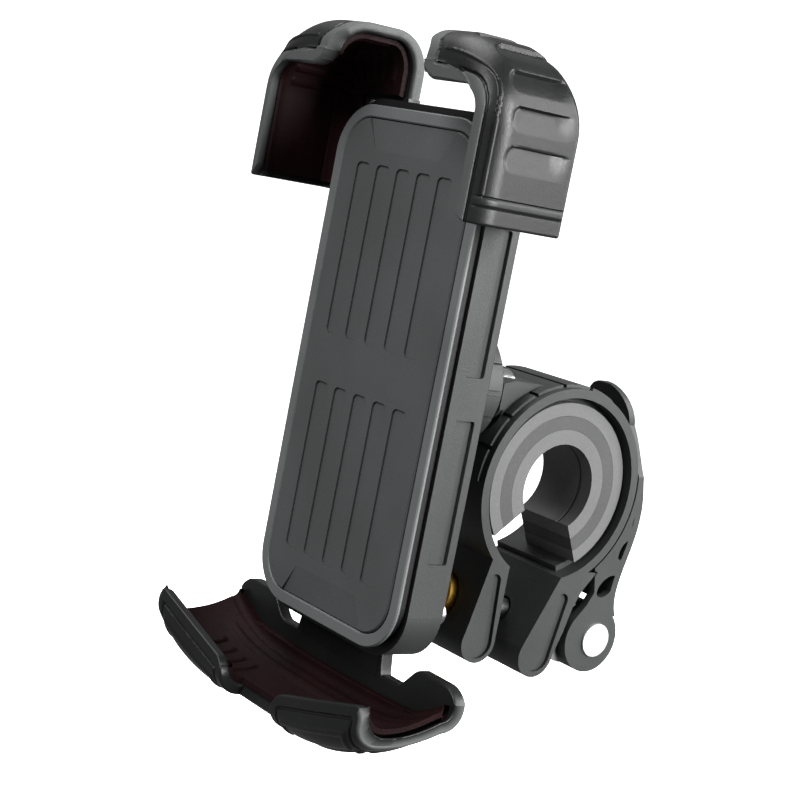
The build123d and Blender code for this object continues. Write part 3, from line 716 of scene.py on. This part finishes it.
def moulded(name, dark, light, rough, grain, grain_strength, specular, rim_satin_and_painted_light=None, painted_shade_strip=None):
    """Moulded plastic or rubber: spark-eroded grain, faint colour drift and uneven gloss.

    A mesh attribute named for the rim picks out the rim, which takes a paler colour (painted light on its
    flat, front-facing face) and more roughness (its satin grain). A strip between two depths along Y is
    darkened to near black: painted shade of the recess behind the front frame.
    """
    material, nodes, links, shader = node_graph(name)
    coords = nodes.new("ShaderNodeTexCoord").outputs["Object"]
    drift = noise(nodes, links, coords, 45.0, 2.0)
    fine = noise(nodes, links, coords, grain, 2.0, 0.7)
    speck = noise(nodes, links, coords, grain * 2.3, 1.0, 0.5)
    shade = mix_colour(nodes, links, ramp(nodes, links, drift, 0.35, 0.65, 0.0, 1.0), dark, light)
    bright = tuple(min(1.0, value * 2.1 + 0.02) for value in light)
    shade = mix_colour(nodes, links, ramp(nodes, links, speck, 0.6, 0.85, 0.0, 0.35), shade, bright)
    roughness = ramp(nodes, links, fine, 0.3, 0.7, rough - 0.07, rough + 0.09)
    # Painted shade: a near-black band between two depths along Y stands in for the shade in the recess behind
    # the front frame.
    if painted_shade_strip is not None:
        across = nodes.new("ShaderNodeSeparateXYZ")
        links.new(coords, across.inputs["Vector"])
        within = nodes.new("ShaderNodeMath")
        within.operation = "COMPARE"
        within.inputs[1].default_value = (painted_shade_strip[0] + painted_shade_strip[1]) / 2
        within.inputs[2].default_value = (painted_shade_strip[1] - painted_shade_strip[0]) / 2
        links.new(across.outputs["Y"], within.inputs[0])
        shade = mix_colour(nodes, links, within.outputs["Value"], shade, (0.004, 0.004, 0.004))
    # Painted light: the rim's paler colour stands in for light on its flat, front-facing face; the extra
    # roughness is its satin grain.
    if rim_satin_and_painted_light is not None:
        band = nodes.new("ShaderNodeAttribute")
        band.attribute_name = "rim_satin_and_painted_light"
        shade = mix_colour(nodes, links, band.outputs["Fac"], shade, rim_satin_and_painted_light)
        extra = nodes.new("ShaderNodeMath")
        extra.operation = "MULTIPLY_ADD"
        extra.inputs[1].default_value = 0.22
        links.new(band.outputs["Fac"], extra.inputs[0])
        links.new(roughness, extra.inputs[2])
        roughness = extra.outputs["Value"]
    links.new(shade, shader.inputs["Base Color"])
    links.new(roughness, shader.inputs["Roughness"])
    normal = bump(nodes, links, fine, grain_strength, 0.00012)
    normal = bump(nodes, links, drift, 0.12, 0.0004, normal)
    links.new(normal, shader.inputs["Normal"])
    shader.inputs["Specular IOR Level"].default_value = specular
    return material


def machined(name, colour, rough, stretch=(1.0, 1.0, 1.0)):
    """Turned or brushed metal, with fine tool marks and a little dulling."""
    material, nodes, links, shader = node_graph(name)
    coords = nodes.new("ShaderNodeTexCoord").outputs["Object"]
    mapping = nodes.new("ShaderNodeMapping")
    mapping.inputs["Scale"].default_value = stretch
    links.new(coords, mapping.inputs["Vector"])
    marks = noise(nodes, links, mapping.outputs["Vector"], 900.0, 2.0)
    stain = noise(nodes, links, coords, 160.0, 3.0)
    dull = tuple(value * 0.72 for value in colour)
    shade = mix_colour(nodes, links, ramp(nodes, links, stain, 0.4, 0.75, 0.0, 0.35), colour, dull)
    links.new(shade, shader.inputs["Base Color"])
    links.new(ramp(nodes, links, marks, 0.3, 0.7, rough - 0.04, rough + 0.06), shader.inputs["Roughness"])
    links.new(bump(nodes, links, marks, 0.12, 0.00003), shader.inputs["Normal"])
    shader.inputs["Metallic"].default_value = 1.0
    return material


MATERIALS = {
    "body_plastic": moulded(
        "body_plastic", (0.016, 0.017, 0.0167), (0.021, 0.0222, 0.022), 0.5, 2600.0, 0.4, 0.25,
        # Painted shade: the near-black band between these depths stands in for the recess behind the front
        # frame.
        painted_shade_strip=(HOLDER[1] + 0.9 * MM, HOLDER[1] + 3.05 * MM),
    ),
    "frame_plastic": moulded(
        "frame_plastic", (0.07, 0.074, 0.075), (0.088, 0.092, 0.093), 0.5, 3000.0, 0.4, 0.3,
    ),
    "jaw_plastic": moulded(
        "jaw_plastic", (0.0035, 0.0037, 0.0037), (0.0055, 0.0058, 0.0058), 0.36, 2600.0, 0.25, 0.22,
        # The rim's paler colour is painted light; its extra roughness is the rim's satin grain.
        rim_satin_and_painted_light=(0.05, 0.053, 0.053),
    ),
    "pad_rubber": moulded(
        "pad_rubber", (0.042, 0.0437, 0.044), (0.05, 0.052, 0.053), 0.72, 1800.0, 0.2, 0.2,
    ),
    "liner_rubber": moulded(
        "liner_rubber", (0.004, 0.0012, 0.0014), (0.008, 0.002, 0.0024), 0.6, 1500.0, 0.3, 0.06,
    ),
    "sleeve_light": moulded(
        "sleeve_light", (0.064, 0.064, 0.065), (0.07, 0.07, 0.071), 0.6, 1500.0, 0.25, 0.3,
    ),
    "sleeve_dark": moulded(
        "sleeve_dark", (0.028, 0.028, 0.0285), (0.033, 0.033, 0.0335), 0.6, 1500.0, 0.25, 0.3,
    ),
    "nylon": moulded("nylon", (0.1, 0.1, 0.1), (0.13, 0.13, 0.13), 0.45, 1200.0, 0.3, 0.3),
    "alloy": machined("alloy", (0.4, 0.4, 0.41), 0.34, (1.0, 6.0, 1.0)),
    "steel": machined("steel", (0.3, 0.3, 0.305), 0.32, (1.0, 6.0, 1.0)),
    "pin_steel": machined("pin_steel", (0.93, 0.93, 0.93), 0.38),
    "brass": machined("brass", (0.85, 0.5, 0.1), 0.36),
}
SLOTS = {part["node"]: part["material_slot"] for part in frame["record"]["subparts"]}


def dress_cad_nodes():
    for name, node in NODES.items():
        node.data.materials.clear()
        node.data.materials.append(MATERIALS[SLOTS[name]])


# ---------------------------------------------------------------- pieces

TOOTH_PITCH = math.pi * 0.75
TEETH_EACH_WAY = 9
TOOTH = ((5.25, -0.66), (3.92, -0.27), (3.92, 0.27), (5.25, 0.66))
PLATE_EDGE_R = 0.12


def rack_teeth(side):
    """The toothed edge of a rack, from its low end up; side is +1 when the rack stands at +X."""
    points = []
    for index in range(-TEETH_EACH_WAY, TEETH_EACH_WAY):
        middle = (index + 0.5) * TOOTH_PITCH
        points += [(side * x, middle + dz) for x, dz in TOOTH]
    return points


def upper_plate():
    """The upper jaw's slide, X and Z: a plate with two legs up to the hooks, and the rack below it."""
    return [
        (-17.0, 57.0), (-12.0, 57.0), (-12.0, 50.0), (12.0, 50.0), (12.0, 57.0), (17.0, 57.0), (17.0, 23.0),
        (9.2, 23.0), (9.2, -21.0), (5.25, -21.0), *rack_teeth(1), (5.25, 23.0), (-17.0, 23.0),
    ]


def lower_plate():
    """The lower jaw's slide, with its rack on the other side of the gear."""
    return [
        (14.3, -61.5), (14.3, -23.0), (-5.25, -23.0), *rack_teeth(-1), (-5.25, 21.0), (-9.2, 21.0),
        (-9.2, -23.0), (-14.3, -23.0), (-14.3, -61.5),
    ]


def plate(name, outline, body):
    """The flat slide of a jaw, with its rack, softened along every edge."""
    bm = bmesh.new()
    front = [bm.verts.new((x, PLATE_Y[0], z)) for x, z in outline]
    back = [bm.verts.new((x, PLATE_Y[1], z)) for x, z in outline]
    bm.faces.new(front)
    bm.faces.new(back[::-1])
    for index, start in enumerate(front):
        follow = (index + 1) % len(front)
        bm.faces.new((start, back[index], back[follow], front[follow]))
    bmesh.ops.recalc_face_normals(bm, faces=bm.faces)
    bmesh.ops.bevel(bm, geom=bm.edges[:], offset=PLATE_EDGE_R, segments=2, affect="EDGES", profile=0.6)
    bmesh.ops.triangulate(bm, faces=[face for face in bm.faces if len(face.verts) > 4])
    return new_object(name, bm, body, MATERIALS["jaw_plastic"])


def build_jaws():
    jaw, rubber = MATERIALS["jaw_plastic"], MATERIALS["liner_rubber"]
    for side, mirror in (("right", False), ("left", True)):
        hook = new_object("upper_hook_" + side, upper_hook(), "top_jaw", jaw, mirror)
        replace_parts(hook, "upper_jaw")
        liner = new_object("hook_liner_" + side, upper_liner(), "top_jaw", rubber, mirror)
        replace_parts(liner, "upper_liner_" + side)
    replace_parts(plate("upper_slide_plate", upper_plate(), "top_jaw"), "upper_jaw")
    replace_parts(plate("lower_slide_plate", lower_plate(), "bottom_jaw"), "lower_jaw")
    scoop = new_object("lower_scoop", lower_shell(), "bottom_jaw", jaw)
    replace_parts(scoop, "lower_jaw")
    liner = new_object("scoop_liner", lower_liner(), "bottom_jaw", rubber)
    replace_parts(liner, "lower_liner")


# ---------------------------------------------------------------- stage

def build_camera():
    """A long lens to the front right, a little above the bar, rolled as the object leans."""
    right = Vector((0.58963294, 0.78488483, 0.19049617))
    down = Vector((0.21536213, 0.07453174, -0.97368587))
    forward = right.cross(down)
    data = bpy.data.cameras.new("camera")
    data.sensor_width = 36.0
    data.lens = 81.68
    data.clip_start = 0.01
    camera = bpy.data.objects.new("camera", data)
    bpy.context.scene.collection.objects.link(camera)
    turn = Matrix((right, -down, -forward)).transposed()
    camera.matrix_world = Matrix.Translation((0.2985, -0.2758, 0.0626)) @ turn.to_4x4()
    bpy.context.scene.camera = camera


def area_light(name, place, target, size, power):
    data = bpy.data.lights.new(name, "AREA")
    data.shape = "RECTANGLE"
    data.size, data.size_y = size
    data.energy = power
    light = bpy.data.objects.new(name, data)
    bpy.context.scene.collection.objects.link(light)
    light.location = place
    light.rotation_euler = (Vector(target) - Vector(place)).to_track_quat("-Z", "Y").to_euler()


# Backdrop, in metres
FLOOR_DROP = 0.06
BACKDROP_STEPS = 48
BACKDROP_SWEEP_STEPS = 12
BACKDROP_FLAT = 1.2
BACKDROP_SWEEP = 0.8
BACKDROP_TOP = 4.0


def build_backdrop():
    """A pale floor that sweeps up into a wall all round, seen by the lens and by nothing else."""
    floor_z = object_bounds()[0].z - FLOOR_DROP
    profile = [(0.0, 0.0)]
    for angle in np.linspace(0.0, math.pi / 2, BACKDROP_SWEEP_STEPS + 1):
        reach = BACKDROP_FLAT + BACKDROP_SWEEP * math.sin(angle)
        profile.append((reach, BACKDROP_SWEEP * (1.0 - math.cos(angle))))
    profile.append((BACKDROP_FLAT + BACKDROP_SWEEP, BACKDROP_TOP))
    bm = bmesh.new()
    chain = [bm.verts.new((reach, 0.0, floor_z + rise)) for reach, rise in profile]
    edges = [bm.edges.new(pair) for pair in zip(chain, chain[1:])]
    bmesh.ops.spin(
        bm, geom=chain + edges, cent=(0, 0, 0), axis=(0, 0, 1), angle=2 * math.pi,
        steps=BACKDROP_STEPS, use_merge=True,
    )
    bmesh.ops.remove_doubles(bm, verts=bm.verts, dist=1e-6)
    bmesh.ops.recalc_face_normals(bm, faces=bm.faces)
    mesh = bpy.data.meshes.new("floor")
    bm.to_mesh(mesh)
    bm.free()
    for face in mesh.polygons:
        face.use_smooth = True
    floor = bpy.data.objects.new("floor", mesh)
    bpy.context.scene.collection.objects.link(floor)
    floor.visible_diffuse = False
    floor.visible_glossy = False
    floor.visible_shadow = False
    material, nodes, links, shader = node_graph("floor")
    coords = nodes.new("ShaderNodeTexCoord").outputs["Object"]
    shade = mix_colour(nodes, links, noise(nodes, links, coords, 3.0), (0.9, 0.9, 0.9), (0.93, 0.93, 0.93))
    links.new(shade, shader.inputs["Base Color"])
    shader.inputs["Roughness"].default_value = 0.9
    shader.inputs["Specular IOR Level"].default_value = 0.0
    shader.inputs["Emission Color"].default_value = (1.0, 1.0, 1.0, 1.0)
    shader.inputs["Emission Strength"].default_value = 0.93
    mesh.materials.append(material)


def build_stage():
    world = bpy.data.worlds.new("studio")
    world.use_nodes = True
    world.node_tree.nodes["Background"].inputs["Color"].default_value = (1.0, 1.0, 1.0, 1.0)
    world.node_tree.nodes["Background"].inputs["Strength"].default_value = 0.3
    bpy.context.scene.world = world
    bpy.context.scene.view_settings.view_transform = "Standard"
    middle = (0.0, -0.04, 0.01)
    area_light("key", (0.15, -0.7, 0.6), middle, (0.5, 0.5), 11.0)
    area_light("side", (0.8, 0.25, 0.3), middle, (0.25, 0.6), 24.0)
    area_light("back", (0.4, 0.62, 0.3), middle, (0.2, 0.7), 9.0)
    area_light("top", (-0.3, -0.1, 0.75), middle, (0.5, 0.5), 4.5)
    build_backdrop()


build_camera()
dress_cad_nodes()
build_jaws()
build_stage()
